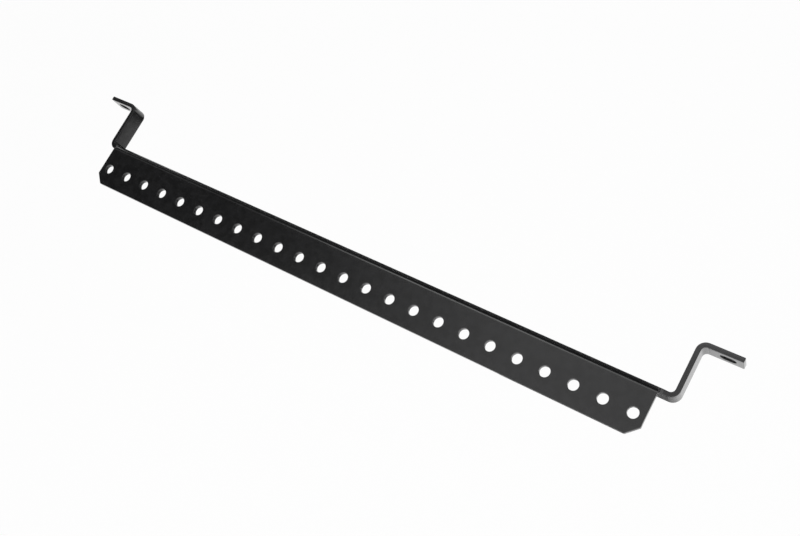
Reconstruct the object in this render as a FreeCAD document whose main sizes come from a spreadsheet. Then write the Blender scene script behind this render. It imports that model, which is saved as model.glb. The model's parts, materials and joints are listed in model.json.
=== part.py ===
"""Cable management bar for a 19-inch rack, folded from one piece of steel sheet.

A level flange carries a row of round holes for cable ties. A narrow web is folded down along the flange's
rack side, and each end of the web runs on as an arm that steps forward to a slotted tab, which is screwed to
the rack rail.

Frame: X runs along the bar, Y points from the bar to the rack rail, Z is up. The origin lies midway between
the two slots, on the face of the tabs that meets the rail. Sizes are in millimetres.
"""
import FreeCAD
import Part
import Sketcher
import math
import os
from FreeCAD import Vector

NODE = "cable_bar"
TOUCH = 1e-6
HALF_BEND_ANGLE = 45

# Driving sizes: name in the sheet, value, what it measures
SIZES = [
    ("rack_width", 482.6, "across both tab ends, the panel width of a 19-inch rack"),
    ("sheet_thickness", 2.9, "12-gauge steel with its coat"),
    ("tab_length", 22.3, "outer face of an arm's riser to the tab's end"),
    ("arm_reach", 9.7, "flange end to the outer face of the riser"),
    ("arm_width", 13.0, "height of the web's flat part, the arms and the tabs"),
    ("arm_offset", 33.0, "web's rack face to the tabs' rack face"),
    ("arm_bend", 2.8, "inside radius of the two bends in each arm"),
    ("flange_depth", 31.0, "web's rack face to the flange's free edge"),
    ("flange_bend", 1.3, "inside radius of the long bend"),
    ("relief_round", 3.5, "radius of the inside corner where an arm leaves the flange's end"),
    ("corner_cut", 6.5, "leg of the 45 degree cut on each free corner of the flange"),
    ("hole_diameter", 6.6, "cable tie holes"),
    ("hole_pitch", 17.6, "between neighbouring holes"),
    ("hole_margin", 6.0, "least distance from a hole's centre to the flange's end"),
    ("hole_edge", 12.1, "hole centres to the flange's free edge"),
    ("slot_length", 9.0, "rack slots, end to end"),
    ("slot_width", 6.0, "rack slots, clear of the rack screw"),
    ("slot_edge", 8.75, "slot centre to the tab's end"),
]

# Formulas that several sketches and features share
HALF_BAR = "(Sizes.rack_width / 2 - Sizes.tab_length - Sizes.arm_reach)"
FLANGE_OUTER_BEND = "(Sizes.flange_bend + Sizes.sheet_thickness)"
HALF_CHORD = f"{FLANGE_OUTER_BEND} * sin({HALF_BEND_ANGLE})"
ARM_OUTER_BEND = "(Sizes.arm_bend + Sizes.sheet_thickness)"
FREE_EDGE = "(Sizes.arm_offset + Sizes.flange_depth)"
SLOT_CENTRE = "(Sizes.rack_width / 2 - Sizes.slot_edge)"
SLOT_STRAIGHT = "(Sizes.slot_length - Sizes.slot_width)"
HOLE_STEPS = f"floor((2 * {HALF_BAR} - 2 * Sizes.hole_margin) / Sizes.hole_pitch)"

doc = FreeCAD.newDocument("CableManagementBar")

sheet = doc.addObject("Spreadsheet::Sheet", "Sizes")
for row, (alias, value, meaning) in enumerate(SIZES, start=1):
    sheet.set(f"A{row}", alias)
    sheet.set(f"B{row}", str(value))
    sheet.set(f"C{row}", meaning)
    sheet.setAlias(f"B{row}", alias)
doc.recompute()

body = doc.addObject("PartDesign::Body", "CableBar")
body.Label = NODE


def size(formula):
    """The value of a formula of the sheet's sizes, in millimetres."""
    return float(sheet.evalExpression(formula))


def datum(role):
    """The body's own origin plane or axis with this role."""
    return next(feature for feature in body.Origin.OriginFeatures if feature.Role == role)


def new_sketch(name, plane):
    sketch = body.newObject("Sketcher::SketchObject", name)
    sketch.AttachmentSupport = [(datum(plane), "")]
    sketch.MapMode = "FlatFace"
    return sketch


def arc_about(centre, start, end, turn):
    """An arc from start to end about a centre: turn is 1 for anticlockwise, -1 for clockwise."""
    first, last = (start, end) if turn > 0 else (end, start)
    angles = [math.atan2(point.y - centre.y, point.x - centre.x) for point in (first, last)]
    circle = Part.Circle(centre, Vector(0, 0, 1), (start - centre).Length)
    return Part.ArcOfCircle(circle, angles[0], angles[1])


def join(sketch, first, second):
    """Tie the ends that two pieces of an outline share: tangent where one is an arc, else only meeting."""
    curved = any(isinstance(sketch.Geometry[index], Part.ArcOfCircle) for index in (first, second))
    for first_end in (1, 2):
        for second_end in (1, 2):
            gap = sketch.getPoint(first, first_end) - sketch.getPoint(second, second_end)
            if gap.Length < TOUCH:
                kind = "Tangent" if curved else "Coincident"
                sketch.addConstraint(Sketcher.Constraint(kind, first, first_end, second, second_end))
                return


def add_outline(sketch, corners):
    """A closed outline through corners (x, y). An arc leads to a corner (x, y, centre x, centre y, turn)."""
    count = len(corners)
    for index, corner in enumerate(corners):
        target = corners[(index + 1) % count]
        start, end = Vector(*corner[:2], 0), Vector(*target[:2], 0)
        if len(target) == 2:
            sketch.addGeometry(Part.LineSegment(start, end), False)
            along = "Horizontal" if abs(end.y - start.y) < TOUCH else "Vertical"
            sketch.addConstraint(Sketcher.Constraint(along, index))
        else:
            sketch.addGeometry(arc_about(Vector(*target[2:4], 0), start, end, target[4]), False)
    for index in range(count):
        join(sketch, index, (index + 1) % count)


def bind(sketch, constraint, name, formula):
    """Add a named dimension to a sketch and drive it from the sheet."""
    index = sketch.addConstraint(constraint)
    sketch.renameConstraint(index, name)
    sketch.setExpression(f"Constraints.{name}", formula)


def extrude(kind, name, sketch, side="One side", reach="Length", reverse=False, length=None):
    """A pad or pocket of a sketch. A length is a formula of the sheet's sizes."""
    feature = body.newObject(kind, name)
    feature.Profile = sketch
    feature.SideType = side
    feature.Type = reach
    feature.Reversed = reverse
    if length:
        feature.setExpression("Length", length)
    doc.recompute()
    return feature


def bar_section():
    """The angle section: web, long bend and flange, drawn across the bar."""
    offset, top = size("Sizes.arm_offset"), size("Sizes.arm_width") / 2
    inner, outer = size("Sizes.flange_bend"), size(FLANGE_OUTER_BEND)
    thickness, edge = size("Sizes.sheet_thickness"), size(FREE_EDGE)
    centre = (-offset - outer, top)
    sketch = new_sketch("BarSection", "YZ_Plane")
    add_outline(sketch, [
        (-offset, -top),
        (-offset, top),
        (centre[0], top + outer, *centre, 1),
        (-edge, top + outer),
        (-edge, top + inner),
        (centre[0], top + inner),
        (-offset - thickness, top, *centre, -1),
        (-offset - thickness, -top),
    ])
    sketch.addConstraint(Sketcher.Constraint("Coincident", 1, 3, 5, 3))
    bind(sketch, Sketcher.Constraint("DistanceX", 0, 1, -1, 1, offset), "web_face", "Sizes.arm_offset")
    bind(sketch, Sketcher.Constraint("DistanceY", 0, 1, -1, 1, top), "web_below", "Sizes.arm_width / 2")
    bind(sketch, Sketcher.Constraint("DistanceY", -1, 1, 0, 2, top), "web_above", "Sizes.arm_width / 2")
    bind(sketch, Sketcher.Constraint("Radius", 1, outer), "bend_outside", FLANGE_OUTER_BEND)
    bind(sketch, Sketcher.Constraint("Radius", 5, inner), "bend_inside", "Sizes.flange_bend")
    bind(sketch, Sketcher.Constraint("DistanceX", 2, 2, -1, 1, edge), "free_edge", FREE_EDGE)
    return sketch


def end_relief():
    """What is trimmed off past the flange's end, down to a round inside corner where the arm leaves the bend.

    It is drawn on a plane through the bend's axis, parallel to the sheet halfway round the bend. There the
    arm's edge lies at one end of the bend's chord, and the flange past the other end.
    """
    end, depth = size(HALF_BAR), size("Sizes.flange_depth")
    radius, arm_edge = size("Sizes.relief_round"), size(HALF_CHORD)
    sketch = new_sketch("EndReliefOutline", "XY_Plane")
    sketch.AttachmentOffset = FreeCAD.Placement(Vector(), FreeCAD.Rotation(Vector(1, 0, 0), -HALF_BEND_ANGLE))
    sketch.setExpression("AttachmentOffset.Base.y", f"-(Sizes.arm_offset + {FLANGE_OUTER_BEND})")
    sketch.setExpression("AttachmentOffset.Base.z", "Sizes.arm_width / 2")
    add_outline(sketch, [
        (end, arm_edge - depth),
        (end, arm_edge - radius),
        (end + radius, arm_edge, end + radius, arm_edge - radius, -1),
        (end + 2 * radius, arm_edge),
        (end + 2 * radius, arm_edge - depth),
    ])
    bind(sketch, Sketcher.Constraint("DistanceX", -1, 1, 0, 1, end), "flange_end", HALF_BAR)
    bind(sketch, Sketcher.Constraint("DistanceY", -1, 1, 2, 1, arm_edge), "arm_edge", HALF_CHORD)
    bind(sketch, Sketcher.Constraint("Radius", 1, radius), "corner", "Sizes.relief_round")
    bind(sketch, Sketcher.Constraint("DistanceX", 2, 1, 2, 2, radius), "past_corner", "Sizes.relief_round")
    bind(sketch, Sketcher.Constraint("DistanceY", 3, 2, 2, 2, depth), "past_flange", "Sizes.flange_depth")
    return sketch


def arm_outline():
    """The right arm from above: on from the web, forward along the riser, then out along the tab."""
    flange_end, tab_end = size(HALF_BAR), size("Sizes.rack_width") / 2
    riser = flange_end + size("Sizes.arm_reach")
    offset, thickness = size("Sizes.arm_offset"), size("Sizes.sheet_thickness")
    inner, outer = size("Sizes.arm_bend"), size(ARM_OUTER_BEND)
    web_bend = (riser - outer, inner - offset)
    tab_bend = (riser + inner, -outer)
    sketch = new_sketch("ArmOutline", "XY_Plane")
    add_outline(sketch, [
        (flange_end, -offset - thickness),
        (web_bend[0], -offset - thickness),
        (riser, web_bend[1], *web_bend, 1),
        (riser, tab_bend[1]),
        (tab_bend[0], -thickness, *tab_bend, -1),
        (tab_end, -thickness),
        (tab_end, 0),
        (tab_bend[0], 0),
        (riser - thickness, tab_bend[1], *tab_bend, 1),
        (riser - thickness, web_bend[1]),
        (web_bend[0], -offset, *web_bend, -1),
        (flange_end, -offset),
    ])
    sketch.addConstraint(Sketcher.Constraint("Coincident", 1, 3, 9, 3))
    sketch.addConstraint(Sketcher.Constraint("Coincident", 3, 3, 7, 3))
    sketch.addConstraint(Sketcher.Constraint("PointOnObject", 5, 2, -1))
    bind(sketch, Sketcher.Constraint("DistanceX", -1, 1, 4, 2, tab_end), "tab_end", "Sizes.rack_width / 2")
    bind(sketch, Sketcher.Constraint("DistanceX", 2, 2, 4, 2, tab_end - riser), "tab", "Sizes.tab_length")
    bind(sketch, Sketcher.Constraint("DistanceX", 0, 1, 2, 2, riser - flange_end), "reach", "Sizes.arm_reach")
    bind(sketch, Sketcher.Constraint("DistanceY", 10, 2, -1, 1, offset), "offset", "Sizes.arm_offset")
    bind(sketch, Sketcher.Constraint("Radius", 1, outer), "web_bend_outside", ARM_OUTER_BEND)
    bind(sketch, Sketcher.Constraint("Radius", 9, inner), "web_bend_inside", "Sizes.arm_bend")
    bind(sketch, Sketcher.Constraint("Radius", 3, inner), "tab_bend_inside", "Sizes.arm_bend")
    return sketch


def slot_outline():
    """The rack slot in the right tab, with round ends."""
    centre, radius = size(SLOT_CENTRE), size("Sizes.slot_width") / 2
    left, right = (centre + side * size(SLOT_STRAIGHT) / 2 for side in (-1, 1))
    sketch = new_sketch("SlotOutline", "XZ_Plane")
    add_outline(sketch, [
        (left, -radius, left, 0, 1),
        (right, -radius),
        (right, radius, right, 0, 1),
        (left, radius),
    ])
    sketch.addConstraint(Sketcher.Constraint("PointOnObject", 1, 3, -1))
    bind(sketch, Sketcher.Constraint("Radius", 1, radius), "end_radius", "Sizes.slot_width / 2")
    bind(sketch, Sketcher.Constraint("DistanceX", 0, 1, 0, 2, right - left), "straight", SLOT_STRAIGHT)
    right_formula = f"{SLOT_CENTRE} + {SLOT_STRAIGHT} / 2"
    bind(sketch, Sketcher.Constraint("DistanceX", -1, 1, 0, 2, right), "outer_end", right_formula)
    return sketch


def first_hole():
    """The leftmost cable tie hole. The row is centred on the bar."""
    start_formula = f"{HOLE_STEPS} * Sizes.hole_pitch / 2"
    row_formula = f"{FREE_EDGE} - Sizes.hole_edge"
    start, row, diameter = size(start_formula), size(row_formula), size("Sizes.hole_diameter")
    sketch = new_sketch("FirstHole", "XY_Plane")
    sketch.addGeometry(Part.Circle(Vector(-start, -row, 0), Vector(0, 0, 1), diameter / 2), False)
    bind(sketch, Sketcher.Constraint("DistanceX", 0, 3, -1, 1, start), "row_start", start_formula)
    bind(sketch, Sketcher.Constraint("DistanceY", 0, 3, -1, 1, row), "row", row_formula)
    bind(sketch, Sketcher.Constraint("Diameter", 0, diameter), "diameter", "Sizes.hole_diameter")
    return sketch


def free_corners(shape):
    """The upright edges at the two ends of the flange's free edge."""
    end, edge = size(HALF_BAR), size(FREE_EDGE)
    names = []
    for number, line in enumerate(shape.Edges, start=1):
        box = line.BoundBox
        upright = max(box.XLength, box.YLength) < TOUCH
        if upright and abs(abs(box.Center.x) - end) < TOUCH and abs(box.Center.y + edge) < TOUCH:
            names.append(f"Edge{number}")
    return names


# The angle, long enough to leave the round inside corners past the flange's ends
angle_length = f"2 * {HALF_BAR} + 2 * Sizes.relief_round"
extrude("PartDesign::Pad", "Angle", bar_section(), side="Symmetric", length=angle_length)

# One end of the bar, then the same end mirrored
relief = extrude("PartDesign::Pocket", "EndRelief", end_relief(), side="Symmetric", reach="ThroughAll")
arm = extrude("PartDesign::Pad", "Arm", arm_outline(), side="Symmetric", length="Sizes.arm_width")
slot = extrude("PartDesign::Pocket", "RackSlot", slot_outline(), reach="ThroughAll", reverse=True)
ends = body.newObject("PartDesign::Mirrored", "BothEnds")
ends.Originals = [relief, arm, slot]
ends.MirrorPlane = (datum("YZ_Plane"), [""])
body.Tip = ends
doc.recompute()

# The row of cable tie holes through the flange
hole = extrude("PartDesign::Pocket", "TieHole", first_hole(), reach="ThroughAll", reverse=True)
holes = body.newObject("PartDesign::LinearPattern", "TieHoles")
holes.Originals = [hole]
holes.Direction = (datum("X_Axis"), [""])
holes.Mode = "Spacing"
holes.setExpression("Offset", "Sizes.hole_pitch")
holes.setExpression("Occurrences", f"{HOLE_STEPS} + 1")
body.Tip = holes
doc.recompute()

# The free corners of the flange, cut off so that they don't catch on cables
corners = body.newObject("PartDesign::Chamfer", "FreeCorners")
corners.Base = (holes, free_corners(holes.Shape))
corners.setExpression("Size", "Sizes.corner_cut")
body.Tip = corners
doc.recompute()

failed = [item.Name for item in doc.Objects if {"Invalid", "Error"} & set(item.State)]
if failed:
    raise RuntimeError(f"failed to build: {failed}")
if body.Shape.isNull() or not body.Shape.isValid() or len(body.Shape.Solids) != 1:
    raise RuntimeError(f"{NODE} is not one valid solid")

os.makedirs("parts", exist_ok=True)
body.Shape.exportStep(f"parts/{body.Label}.step")
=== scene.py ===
"""Cable management bar for a 19-inch rack: steel sheet, punched, folded and powder coated.

The bar is drawn as the flat sheet that it is cut from. The sheet is then folded along the long bend
and round the bends of each arm, thickened, and its edges rounded as the coat rounds them. It hangs
above a pale floor. Lengths are in metres.
"""
import json
import math
from itertools import accumulate

import bmesh
import bpy
from bpy.props import FloatProperty, FloatVectorProperty, PointerProperty
from bpy.types import Operator, Panel, PropertyGroup
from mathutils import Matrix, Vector


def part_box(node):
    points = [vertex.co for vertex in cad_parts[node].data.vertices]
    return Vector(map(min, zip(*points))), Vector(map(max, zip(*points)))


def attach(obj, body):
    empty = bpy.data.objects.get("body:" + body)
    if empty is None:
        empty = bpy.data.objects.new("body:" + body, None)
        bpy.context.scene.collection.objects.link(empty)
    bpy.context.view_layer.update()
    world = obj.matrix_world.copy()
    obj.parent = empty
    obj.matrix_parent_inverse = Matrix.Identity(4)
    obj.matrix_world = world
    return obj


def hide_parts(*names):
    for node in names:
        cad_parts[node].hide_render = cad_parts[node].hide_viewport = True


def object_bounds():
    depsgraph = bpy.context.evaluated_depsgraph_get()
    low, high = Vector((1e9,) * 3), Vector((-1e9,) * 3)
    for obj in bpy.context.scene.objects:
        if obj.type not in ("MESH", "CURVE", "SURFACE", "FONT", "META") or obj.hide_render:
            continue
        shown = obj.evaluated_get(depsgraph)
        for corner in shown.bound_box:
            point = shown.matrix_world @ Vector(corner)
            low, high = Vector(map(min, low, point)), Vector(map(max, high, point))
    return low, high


bl_info = {
    "name": "Rack cable management bar",
    "version": (1, 0, 0),
    "blender": (4, 5, 0),
    "location": "3D View > Sidebar > Cable bar",
    "description": "Folds a perforated cable bar from flat sheet, coats it and sets its stage",
    "category": "Add Mesh",
}

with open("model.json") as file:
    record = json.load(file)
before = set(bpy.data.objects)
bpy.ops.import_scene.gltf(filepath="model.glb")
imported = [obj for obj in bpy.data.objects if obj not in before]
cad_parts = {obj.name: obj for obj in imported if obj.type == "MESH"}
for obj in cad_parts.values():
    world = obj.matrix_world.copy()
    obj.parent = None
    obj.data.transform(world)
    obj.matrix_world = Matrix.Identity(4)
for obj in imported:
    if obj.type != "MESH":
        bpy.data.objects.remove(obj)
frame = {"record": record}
CAD_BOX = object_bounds()

NODE = "cable_bar"
BODY = "root"
LOW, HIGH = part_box(NODE)
MOUNTS = {mount["name"]: mount for mount in frame["record"]["mounts"]}
RACK_SLOTS = MOUNTS["rack_slots"]["dims"]
# A mount is a pair of neighbouring holes, so half the bar has as many holes as there are mounts
TIE_HOLES = [mount for name, mount in MOUNTS.items() if name.startswith("tie_holes")]
HOLE_PAIR = TIE_HOLES[0]["dims"]
HALF_ROW = len(TIE_HOLES)

MM = 0.001
QUARTER = math.pi / 2
# Points nearer to each other than this become one
WELD = 0.01 * MM
# Points round each hole and slot, and how many of them face each side of its patch of sheet
HOLE_POINTS = 32
PER_SIDE = HOLE_POINTS // 4
LONG_BEND_STEPS = 18
ARM_BEND_STEPS = 10
# The coat rounds edges that turn more than this, in so many steps
EDGE_ANGLE = math.radians(40)
EDGE_STEPS = 3
# Flat faces decide the shading of the rounded edges between them
FLAT_WEIGHT = 100

# Polyester resin has about 1.5, and a little less matches the bar's gloss
RESIN_IOR = 1.45
# The waves' noise lies mostly between these two
HOLLOW, CREST = 0.35, 0.65

FLOOR_STEPS = 96
RIM_STEPS = 12
LAMP_HEIGHT = 1.2
STRIP_Y = 0.56
STRIP_DEPTH = 0.5
FILL_SIZE = (3.0, 1.7)
# Cards that paint the bar's shadow for the coat's gloss to mirror
CARD_THICKNESS = 1 * MM
CARDS_BEHIND_Y = 0.02
SENSOR_WIDTH_MM = 36
NEAREST_SEEN = 0.01


def linear(colour):
    """An sRGB hex colour, such as "#1b1b1c", as linear RGBA."""
    channels = [int(colour[at:at + 2], 16) / 255 for at in (1, 3, 5)]
    return (*(c / 12.92 if c <= 0.04045 else ((c + 0.055) / 1.055) ** 2.4 for c in channels), 1.0)


def length(name, description, default):
    """A property that holds a length in metres."""
    return FloatProperty(name=name, description=description, default=default, min=0, precision=5,
                         unit="LENGTH")


def share(name, description, default):
    """A property that holds a number from 0 to 1."""
    return FloatProperty(name=name, description=description, default=default, min=0, max=1,
                         subtype="FACTOR")


def tint(name, description, colour):
    """A property that holds a colour. Its default is given as an sRGB hex colour."""
    return FloatVectorProperty(name=name, description=description, default=linear(colour), size=4,
                               min=0, max=1, subtype="COLOR")


class BarSizes(PropertyGroup):
    rack_width: length("Rack width", "Across both tab ends", HIGH.x - LOW.x)
    sheet_thickness: length("Sheet thickness", "Steel with its coat", 2.9 * MM)
    arm_width: length("Arm width", "Height of the web's flat part, the arms and the tabs",
                      13.0 * MM)
    arm_offset: length("Arm offset", "Web's rack face to the tabs' rack face", 33.0 * MM)
    arm_reach: length("Arm reach", "Flange end to the outer face of the riser", 9.7 * MM)
    arm_bend: length("Arm bend", "Inside radius of the two bends in each arm", 2.8 * MM)
    tab_length: length("Tab length", "Outer face of the riser to the tab's end", 22.3 * MM)
    flange_bend: length("Long bend", "Inside radius of the bend between web and flange", 1.3 * MM)
    relief_round: length("Relief corner", "Radius where an arm leaves the flange's end", 3.5 * MM)
    corner_cut: length("Corner cut", "Leg of the cut on each free corner of the flange", 6.5 * MM)
    hole_radius: length("Hole radius", "Cable tie holes", HOLE_PAIR["hole_r_mm"] * MM)
    hole_pitch: length("Hole pitch", "Between neighbouring holes", HOLE_PAIR["spacing_x_mm"] * MM)
    hole_edge: length("Hole row", "Hole centres to the flange's free edge",
                      TIE_HOLES[0]["pos_m"][1] - LOW.y)
    slot_spacing: length("Slot spacing", "Between the rack slots", RACK_SLOTS["spacing_x_mm"] * MM)
    slot_length: length("Slot length", "Rack slots, end to end", RACK_SLOTS["slot_length_mm"] * MM)
    slot_width: length("Slot width", "Rack slots, across", 2 * RACK_SLOTS["hole_r_mm"] * MM)
    edge_round: length("Edge round", "How far the coat rounds the cut edges", 0.35 * MM)


class CoatFinish(PropertyGroup):
    crest_colour: tint("Crest colour", "Black on the crests of the coat's waves", "#0a0a0b")
    hollow_colour: tint("Hollow colour", "Black in the hollows, where the coat is thin", "#161617")
    roughness: share("Roughness", "Satin coat", 0.2)
    roughness_spread: share("Roughness spread", "How far the grain makes it rougher or finer", 0.05)
    skin_weight: share("Clear skin", "Resin that flows clear of the pigment as it is baked", 0.6)
    skin_roughness: share("Skin roughness", "Clear skin", 0.14)
    peel_size: length("Orange peel", "Width of the soft waves that the coat sets in", 4.0 * MM)
    peel_depth: length("Orange peel depth", "Height of the waves", 0.03 * MM)
    grain_size: length("Grain", "Width of the grain between the waves", 1.2 * MM)
    grain_depth: length("Grain depth", "Height of the grain", 0.012 * MM)


class StageSettings(PropertyGroup):
    floor_colour: tint("Floor colour", "Matt white paper sweep", "#fafafa")
    floor_evenness: share("Floor evenness", "How far the floor looks lit all over alike", 0.95)
    floor_drop: length("Floor drop", "From the bar, which is held by its tabs, to the floor", 0.4)
    floor_radius: length("Floor radius", "Flat part of the floor", 2.4)
    wall_height: length("Wall height", "Sweep at the floor's rim", 1.3)
    # Greys of the cards that paint the bar's shadow into the coat's reflections; the fade paints
    # that shadow's soft edge
    shadow_card_colour: tint("Card colour", "Matt grey cards", "#7a7a7a")
    shadow_fade_start: tint("Fade start", "Left edge of the faded card", "#a2a2a2")
    shadow_fade_end: tint("Fade end", "Right edge of the faded card", "#fafafa")
    room_colour: tint("Room colour", "Dark studio round the stage", "#4c4c4c")
    camera_place: FloatVectorProperty(
        name="Camera place", description="Where the camera stands", subtype="XYZ", unit="LENGTH",
        default=(0.30616, -0.13319, 0.52708))
    camera_turn: FloatVectorProperty(
        name="Camera turn", description="The camera's rotation about X, Y and Z", subtype="EULER",
        default=[math.radians(angle) for angle in (22.101, 19.039, 30.358)])
    camera_lens: FloatProperty(
        name="Lens", description=f"Focal length on a sensor {SENSOR_WIDTH_MM} mm wide",
        unit="CAMERA", default=43.851)


def walk(run, distance):
    """How far a run of straights and bends leads along and across its start.

    Each is (length, turn in radians).
    """
    along = across = heading = 0.0
    for reach, turn in run:
        step = min(distance, reach)
        distance -= step
        if turn:
            radius = reach / turn
            after = heading + step / radius
            along += radius * (math.sin(after) - math.sin(heading))
            across += radius * (math.cos(heading) - math.cos(after))
            heading = after
        else:
            along += step * math.cos(heading)
            across += step * math.sin(heading)
    return along, across


def evenly(start, end, count):
    """Numbers from start to end in a count of equal steps."""
    return [start + (end - start) * step / count for step in range(count + 1)]


def hole_outline(centre, radius, straight=0.0):
    """A round hole on the flat sheet, or a slot with a straight part along the bar, as points."""
    points = []
    for step in range(HOLE_POINTS):
        angle = 2 * math.pi * (step + 0.5) / HOLE_POINTS
        shift = math.copysign(straight / 2, math.cos(angle))
        points.append((centre[0] + shift + radius * math.cos(angle),
                       centre[1] + radius * math.sin(angle)))
    return points


def patch_outline(left, right, low, middle, high, cut=0.0):
    """The patch of sheet round a hole, with as many points as the hole.

    Its far right corner may be cut off.
    """
    half = PER_SIDE // 2
    corners = [(right, middle), (right, high), (left, high),
               (left, middle), (left, low), (right, low)]
    counts = [half, PER_SIDE, half, half, PER_SIDE, half]
    if cut:
        corners[1:2] = [(right, high - cut), (right - cut, high)]
        counts[0:2] = [half // 2, half, PER_SIDE - half // 2]
    points = []
    for corner, following, count in zip(corners, corners[1:] + corners[:1], counts):
        for step in range(count):
            points.append(Vector(corner).lerp(Vector(following), step / count))
    return points


def add_grid(mesh, rows):
    """Fill between rows of points on the flat sheet, each row as long as the next."""
    rows = [[mesh.verts.new((*point, 0)) for point in row] for row in rows]
    for low, high in zip(rows, rows[1:]):
        for at in range(len(low) - 1):
            mesh.faces.new((low[at], high[at], high[at + 1], low[at + 1]))


def add_patch(mesh, hole, outline):
    """Fill between a hole and the outline of its patch."""
    inner = [mesh.verts.new((*point, 0)) for point in hole]
    outer = [mesh.verts.new((*point, 0)) for point in outline]
    for at in range(HOLE_POINTS):
        after = (at + 1) % HOLE_POINTS
        mesh.faces.new((inner[at], inner[after], outer[after], outer[at]))


def sheet_runs(sizes):
    """The rack face's straights and bends, each (length, turn in radians).

    The first run goes along the sheet: web, arm bend, riser, tab bend, tab. The second one goes
    across it: web, long bend, flange.
    """
    tab_bend = sizes.arm_bend + sizes.sheet_thickness
    long_bend = sizes.flange_bend + sizes.sheet_thickness
    along = [
        (sizes.rack_width / 2 - sizes.tab_length - tab_bend, 0),
        (sizes.arm_bend * QUARTER, QUARTER),
        (sizes.arm_offset - sizes.arm_bend - tab_bend, 0),
        (tab_bend * QUARTER, -QUARTER),
        (sizes.tab_length - sizes.arm_bend, 0),
    ]
    across = [
        (sizes.arm_width, 0),
        (long_bend * QUARTER, QUARTER),
        (HIGH.y - sizes.arm_offset - LOW.y - long_bend, 0),
    ]
    return along, across


def draw_half_sheet(sizes, along, across):
    """The right half of the flat sheet, from the bar's middle to the tab's end."""
    web_end, arm_bend_end, riser_end, tab_bend_end, tab_end = accumulate(run[0] for run in along)
    bend_start, bend_end, free_edge = accumulate(run[0] for run in across)
    flange_end = sizes.rack_width / 2 - sizes.tab_length - sizes.arm_reach
    mesh = bmesh.new()

    # The flange: one patch for each hole, the last one out to the flange's cut corner
    hole_row = free_edge - sizes.hole_edge
    columns = [0.0]
    for number in range(HALF_ROW):
        left, centre = number * sizes.hole_pitch, (number + 0.5) * sizes.hole_pitch
        last = number == HALF_ROW - 1
        right = flange_end if last else left + sizes.hole_pitch
        cut = sizes.corner_cut if last else 0
        add_patch(mesh, hole_outline((centre, hole_row), sizes.hole_radius),
                  patch_outline(left, right, bend_end, hole_row, free_edge, cut))
        columns += evenly(left, right, PER_SIDE)[1:]

    # The long bend and the web. The bend's end runs into the arm in a round inside corner
    corner = sizes.relief_round
    web_rows = evenly(0, bend_start, PER_SIDE)
    bend_rows = evenly(bend_start, bend_end, LONG_BEND_STEPS)
    rows = []
    for height in web_rows[:-1] + bend_rows:
        up = min(max(height - bend_start, 0), corner)
        end = flange_end + corner - math.sqrt(corner ** 2 - (corner - up) ** 2)
        rows.append([(station, height) for station in columns[:-1] + [end]])
    add_grid(mesh, rows)

    # The arm, then the tab as the patch round its slot
    stops = [flange_end + corner, web_end]
    stops += evenly(web_end, arm_bend_end, ARM_BEND_STEPS)[1:]
    stops += evenly(arm_bend_end, riser_end, PER_SIDE)[1:]
    stops += evenly(riser_end, tab_bend_end, ARM_BEND_STEPS)[1:]
    add_grid(mesh, [[(station, height) for station in stops] for height in web_rows])
    middle = sizes.arm_width / 2
    slot_centre = tab_end - (sizes.rack_width - sizes.slot_spacing) / 2
    slot = hole_outline((slot_centre, middle), sizes.slot_width / 2,
                        sizes.slot_length - sizes.slot_width)
    add_patch(mesh, slot, patch_outline(tab_bend_end, tab_end, 0, middle, bend_start))

    bmesh.ops.remove_doubles(mesh, verts=mesh.verts, dist=WELD)
    return mesh


def fold_half_sheet(sizes):
    """The right half of the bar's rack face, folded from the flat sheet."""
    along, across = sheet_runs(sizes)
    mesh = draw_half_sheet(sizes, along, across)
    for point in mesh.verts:
        x, forward = walk(along, point.co.x)
        z, backward = walk(across, point.co.y)
        point.co = (x, HIGH.y - sizes.arm_offset + forward - backward, LOW.z + z)
    for face in mesh.faces:
        face.smooth = True
    return mesh


def add_node(tree, kind, settings=None, inputs=None):
    """Add a node. Inputs are values for its sockets, or output sockets to link to them."""
    node = tree.nodes.new(kind)
    for name, value in (settings or {}).items():
        setattr(node, name, value)
    for name, value in (inputs or {}).items():
        if isinstance(value, bpy.types.NodeSocket):
            tree.links.new(value, node.inputs[name])
        else:
            node.inputs[name].default_value = value
    return node


def new_material(name):
    """A material and its empty node tree."""
    material = bpy.data.materials.new(name)
    material.use_nodes = True
    material.node_tree.nodes.clear()
    return material, material.node_tree


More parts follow.
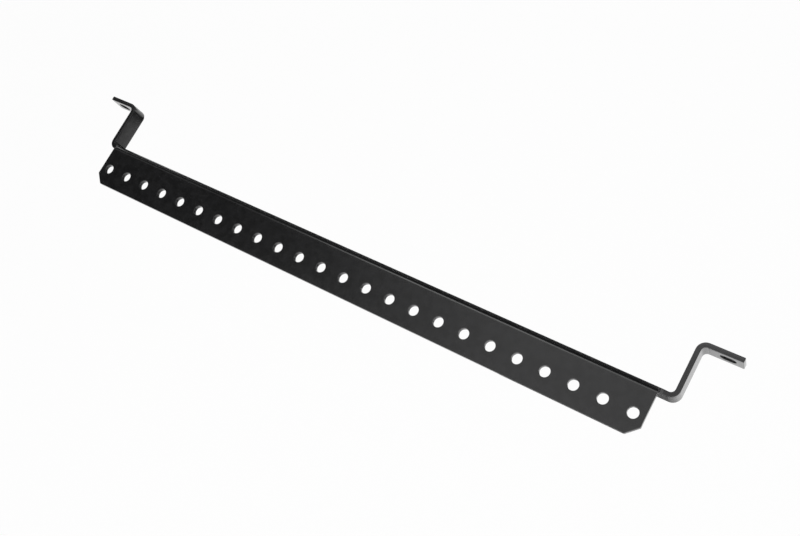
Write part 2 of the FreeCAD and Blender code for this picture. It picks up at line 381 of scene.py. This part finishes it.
def powder_coat(finish):
    """Polyester powder, sprayed on the folded steel and baked.

    It sets in a smooth satin skin with soft waves and a fine grain, black where it reflects a dark
    room, grey where it reflects a lamp, and pale at a low angle. The black is a little paler in the
    hollows of the waves. The grain is drawn coarser than the real one, so that it shows.
    """
    material, tree = new_material("satin_black_polyester_powder_coat")
    place = add_node(tree, "ShaderNodeTexCoord").outputs["Object"]
    waves = add_node(tree, "ShaderNodeTexNoise", inputs={
        "Vector": place, "Scale": 1 / finish.peel_size, "Detail": 1.0, "Roughness": 0.4,
    }).outputs["Fac"]
    grain = add_node(tree, "ShaderNodeTexNoise", inputs={
        "Vector": place, "Scale": 1 / finish.grain_size, "Detail": 2.0,
    }).outputs["Fac"]
    peel = add_node(tree, "ShaderNodeBump", inputs={
        "Height": waves, "Distance": finish.peel_depth, "Strength": 1.0,
    }).outputs["Normal"]
    skin = add_node(tree, "ShaderNodeBump", inputs={
        "Height": grain, "Distance": finish.grain_depth, "Strength": 1.0, "Normal": peel,
    }).outputs["Normal"]
    satin = add_node(tree, "ShaderNodeMapRange", inputs={
        "Value": grain,
        "To Min": finish.roughness - finish.roughness_spread,
        "To Max": finish.roughness + finish.roughness_spread,
    }).outputs["Result"]
    crest = add_node(tree, "ShaderNodeMapRange", inputs={
        "Value": waves, "From Min": HOLLOW, "From Max": CREST,
    }).outputs["Result"]
    black = add_node(tree, "ShaderNodeMix", {"data_type": "RGBA"}, {
        "Factor": crest, "A": tuple(finish.hollow_colour), "B": tuple(finish.crest_colour),
    }).outputs["Result"]
    coat = add_node(tree, "ShaderNodeBsdfPrincipled", inputs={
        "Base Color": black,
        "Roughness": satin,
        "IOR": RESIN_IOR,
        "Normal": skin,
        "Coat Weight": finish.skin_weight,
        "Coat Roughness": finish.skin_roughness,
        "Coat IOR": RESIN_IOR,
        "Coat Normal": skin,
    })
    add_node(tree, "ShaderNodeOutputMaterial", inputs={"Surface": coat.outputs["BSDF"]})
    return material


def paper(stage):
    """Matt white background paper.

    The camera and the coat's gloss see it as lit evenly, with little of the shadow.
    """
    material, tree = new_material("matt_white_background_paper")
    rays = add_node(tree, "ShaderNodeLightPath").outputs
    seen = add_node(tree, "ShaderNodeMath", {"operation": "MAXIMUM"}, {
        0: rays["Is Camera Ray"], 1: rays["Is Glossy Ray"],
    }).outputs["Value"]
    evenness = add_node(tree, "ShaderNodeMath", {"operation": "MULTIPLY"}, {
        0: seen, 1: stage.floor_evenness,
    }).outputs["Value"]
    lit = add_node(tree, "ShaderNodeBsdfDiffuse", inputs={"Color": tuple(stage.floor_colour)})
    even = add_node(tree, "ShaderNodeEmission", inputs={
        "Color": linear("#ffffff"), "Strength": 1.0})
    sheet = add_node(tree, "ShaderNodeMixShader", inputs={
        "Fac": evenness, 1: lit.outputs["BSDF"], 2: even.outputs["Emission"]})
    add_node(tree, "ShaderNodeOutputMaterial", inputs={"Surface": sheet.outputs["Shader"]})
    return material


def shadow_card_stock(name, colour, faded=None):
    """Painted shadow card in one grey, or one that fades from its left edge to another grey at its
    right.
    """
    material, tree = new_material(name)
    tone = tuple(colour)
    if faded is not None:
        generated = add_node(tree, "ShaderNodeTexCoord").outputs["Generated"]
        across = add_node(tree, "ShaderNodeSeparateXYZ", inputs={"Vector": generated}).outputs["X"]
        tone = add_node(tree, "ShaderNodeMix", {"data_type": "RGBA"}, {
            "Factor": across, "A": tone, "B": tuple(faded),
        }).outputs["Result"]
    flat = add_node(tree, "ShaderNodeBsdfDiffuse", inputs={"Color": tone})
    add_node(tree, "ShaderNodeOutputMaterial", inputs={"Surface": flat.outputs["BSDF"]})
    return material


def add_object(name, mesh, material):
    """Put a bmesh in the scene as an object of one material."""
    data = bpy.data.meshes.new(name)
    mesh.to_mesh(data)
    mesh.free()
    data.materials.append(material)
    added = bpy.data.objects.new(name, data)
    bpy.context.scene.collection.objects.link(added)
    return added


def add_floor(stage):
    """A round floor that rises at its rim, so that no view looks past it."""
    bottom = LOW.z - stage.floor_drop
    bend = stage.wall_height / 2
    profile = [(0, bottom)]
    for angle in evenly(0, QUARTER, RIM_STEPS):
        profile.append((stage.floor_radius + bend * math.sin(angle),
                        bottom + bend * (1 - math.cos(angle))))
    profile.append((stage.floor_radius + bend, bottom + stage.wall_height))

    sweep = bmesh.new()
    line = [sweep.verts.new((out, 0, up)) for out, up in profile]
    edges = [sweep.edges.new(pair) for pair in zip(line, line[1:])]
    bmesh.ops.spin(sweep, geom=line + edges, cent=(0, 0, 0), axis=(0, 0, 1), angle=2 * math.pi,
                   steps=FLOOR_STEPS)
    bmesh.ops.remove_doubles(sweep, verts=sweep.verts, dist=MM)
    bmesh.ops.recalc_face_normals(sweep, faces=sweep.faces)
    for face in sweep.faces:
        face.smooth = True
    floor = add_object("floor", sweep, paper(stage))


def add_softbox(name, place, size, radiance, aim=None, feather=0.0):
    """A rectangular lamp, which points straight down unless it has an aim.

    White paper with a radiance of 1 all round it is white. The feather is the share of the lamp's
    width over which it fades in from its left edge.
    """
    lamp = bpy.data.lights.new(name, "AREA")
    lamp.shape = "RECTANGLE"
    lamp.size, lamp.size_y = size
    lamp.energy = radiance * math.pi * size[0] * size[1]
    if feather:
        lamp.use_nodes = True
        tree = lamp.node_tree
        tree.nodes.clear()
        spot = add_node(tree, "ShaderNodeNewGeometry").outputs["Parametric"]
        across = add_node(tree, "ShaderNodeSeparateXYZ", inputs={"Vector": spot}).outputs["X"]
        fade = add_node(tree, "ShaderNodeMapRange", {"interpolation_type": "SMOOTHSTEP"}, {
            "Value": across, "From Max": feather,
        }).outputs["Result"]
        glow = add_node(tree, "ShaderNodeEmission", inputs={"Strength": fade})
        add_node(tree, "ShaderNodeOutputLight", inputs={"Surface": glow.outputs["Emission"]})
    box = bpy.data.objects.new(name, lamp)
    box.location = place
    facing = Vector((0, 0, -1)) if aim is None else Vector(aim) - Vector(place)
    box.rotation_euler = facing.to_track_quat("-Z", "Y").to_euler()
    box.visible_camera = False
    bpy.context.scene.collection.objects.link(box)


def add_lamps():
    """Soft light from above, in front and beside.

    The flange mirrors the top softbox, which fades along the bar, and the long bend mirrors the
    strips.
    """
    middle = (CAD_BOX[0] + CAD_BOX[1]) / 2
    add_softbox("overhead_softbox", (0.3, -0.75, LAMP_HEIGHT), size=(2.6, 1.5), radiance=1.3)
    add_softbox("top_softbox", (0.05, 0.15, LAMP_HEIGHT), size=(1.9, 0.3), radiance=0.71,
                feather=0.41)
    add_softbox("far_strip", (-1.45, STRIP_Y, LAMP_HEIGHT), size=(0.7, STRIP_DEPTH), radiance=0.3)
    add_softbox("middle_strip", (-0.66, STRIP_Y, LAMP_HEIGHT), size=(0.88, STRIP_DEPTH),
                radiance=2.25, feather=0.6)
    add_softbox("near_strip", (0.09, STRIP_Y, LAMP_HEIGHT), size=(0.62, STRIP_DEPTH), radiance=1.55)
    add_softbox("front_softbox", (0.7, -1.9, 0.9), size=FILL_SIZE, radiance=1.0, aim=middle)
    add_softbox("side_softbox", (2.1, 0.0, 0.9), size=FILL_SIZE, radiance=1.0, aim=middle)


def add_shadow_card(name, place, size, material):
    """A flat card of painted shadow, seen only by the coat's gloss: it throws no shadow and hides
    nothing.
    """
    cube = bmesh.new()
    bmesh.ops.create_cube(cube, size=1)
    card = add_object(name, cube, material)
    card.location = place
    card.scale = size
    card.visible_camera = card.visible_diffuse = card.visible_shadow = False


def add_shadow_cards(stage):
    """Cards of painted shadow for the gloss to mirror in place of the pale floor.

    They stand in for the bar's own shadow on a floor close beneath and behind it. Those behind the
    bar, clear of the left tab's bend, paint shade into the long bend's edge. Those below paint
    shade into the web and the left riser, and the faded one paints the soft edge of a shadow, so
    that the right arm's first bend goes gently from dark to light.
    """
    grey = shadow_card_stock("matt_grey_card", stage.shadow_card_colour)
    fade = shadow_card_stock("matt_faded_card", stage.shadow_fade_start, stage.shadow_fade_end)
    for name, x, z, width, height in (
        ("card_behind", 0.002, -0.045, 0.396, 0.15),
        ("card_left_high", -0.225, 0.006, 0.06, 0.048),
        ("card_left_low", -0.265, -0.077, 0.14, 0.086),
    ):
        add_shadow_card(name, (x, CARDS_BEHIND_Y, z), (width, CARD_THICKNESS, height), grey)
    # Painted shadow under the flange, and below the right arm the painted soft edge of that shadow
    add_shadow_card("card_below", (0.109, -0.034, -0.25), (0.144, 0.172, CARD_THICKNESS), grey)
    add_shadow_card("card_below_arm", (0.221, -0.06, -0.08), (0.036, 0.036, CARD_THICKNESS), fade)


def dark_studio(stage):
    """A room of one grey round the stage."""
    world = bpy.data.worlds.new("dark_studio")
    world.use_nodes = True
    tree = world.node_tree
    tree.nodes.clear()
    room = add_node(tree, "ShaderNodeBackground", inputs={
        "Color": tuple(stage.room_colour), "Strength": 1.0})
    add_node(tree, "ShaderNodeOutputWorld", inputs={"Surface": room.outputs["Background"]})
    return world


def add_camera(stage):
    """A camera that sees the bar as it was photographed."""
    camera = bpy.data.objects.new("camera", bpy.data.cameras.new("camera"))
    camera.data.sensor_width = SENSOR_WIDTH_MM
    camera.data.lens = stage.camera_lens
    camera.data.clip_start = NEAREST_SEEN
    camera.location = stage.camera_place
    camera.rotation_euler = stage.camera_turn
    bpy.context.scene.collection.objects.link(camera)
    return camera


class CABLEBAR_OT_fold_bar(Operator):
    """Fold the bar from flat sheet, thicken it, round its edges and coat it"""
    bl_idname = "cablebar.fold_bar"
    bl_label = "Fold the bar"

    def execute(self, context):
        sizes = context.scene.cable_bar_sizes
        coat = powder_coat(context.scene.cable_bar_finish)
        bar = add_object("folded_bar", fold_half_sheet(sizes), coat)

        both = bar.modifiers.new("both_halves", "MIRROR")
        both.merge_threshold = WELD
        # The rack face stays where it is, and the thickness lies on the other side of it
        thick = bar.modifiers.new("sheet_thickness", "SOLIDIFY")
        thick.thickness = sizes.sheet_thickness
        thick.offset = -1
        thick.use_even_offset = True
        edges = bar.modifiers.new("coated_edges", "BEVEL")
        edges.width = sizes.edge_round
        edges.segments = EDGE_STEPS
        edges.limit_method = "ANGLE"
        edges.angle_limit = EDGE_ANGLE
        normals = bar.modifiers.new("even_shading", "WEIGHTED_NORMAL")
        normals.weight = FLAT_WEIGHT

        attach(bar, BODY)
        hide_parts(NODE)
        return {"FINISHED"}


class CABLEBAR_OT_set_stage(Operator):
    """Set the floor, the lamps, the cards of painted shadow, the room and the camera"""
    bl_idname = "cablebar.set_stage"
    bl_label = "Set the stage"

    def execute(self, context):
        scene = context.scene
        stage = scene.cable_bar_stage
        scene.view_settings.view_transform = "Standard"
        add_floor(stage)
        add_lamps()
        add_shadow_cards(stage)
        scene.world = dark_studio(stage)
        scene.camera = add_camera(stage)
        return {"FINISHED"}


class CABLEBAR_PT_sidebar(Panel):
    """The bar's sizes, finish and stage"""
    bl_idname = "CABLEBAR_PT_sidebar"
    bl_label = "Cable management bar"
    bl_space_type = "VIEW_3D"
    bl_region_type = "UI"
    bl_category = "Cable bar"

    def draw(self, context):
        for settings, operator in (
            (context.scene.cable_bar_sizes, None),
            (context.scene.cable_bar_finish, CABLEBAR_OT_fold_bar),
            (context.scene.cable_bar_stage, CABLEBAR_OT_set_stage),
        ):
            for name in settings.__annotations__:
                self.layout.prop(settings, name)
            if operator:
                self.layout.operator(operator.bl_idname)


CLASSES = (BarSizes, CoatFinish, StageSettings, CABLEBAR_OT_fold_bar, CABLEBAR_OT_set_stage,
           CABLEBAR_PT_sidebar)


def register():
    for each in CLASSES:
        bpy.utils.register_class(each)
    bpy.types.Scene.cable_bar_sizes = PointerProperty(type=BarSizes)
    bpy.types.Scene.cable_bar_finish = PointerProperty(type=CoatFinish)
    bpy.types.Scene.cable_bar_stage = PointerProperty(type=StageSettings)


def unregister():
    del bpy.types.Scene.cable_bar_stage
    del bpy.types.Scene.cable_bar_finish
    del bpy.types.Scene.cable_bar_sizes
    for each in reversed(CLASSES):
        bpy.utils.unregister_class(each)


def main():
    register()
    bpy.ops.cablebar.fold_bar()
    bpy.ops.cablebar.set_stage()


if __name__ == "__main__":
    main()
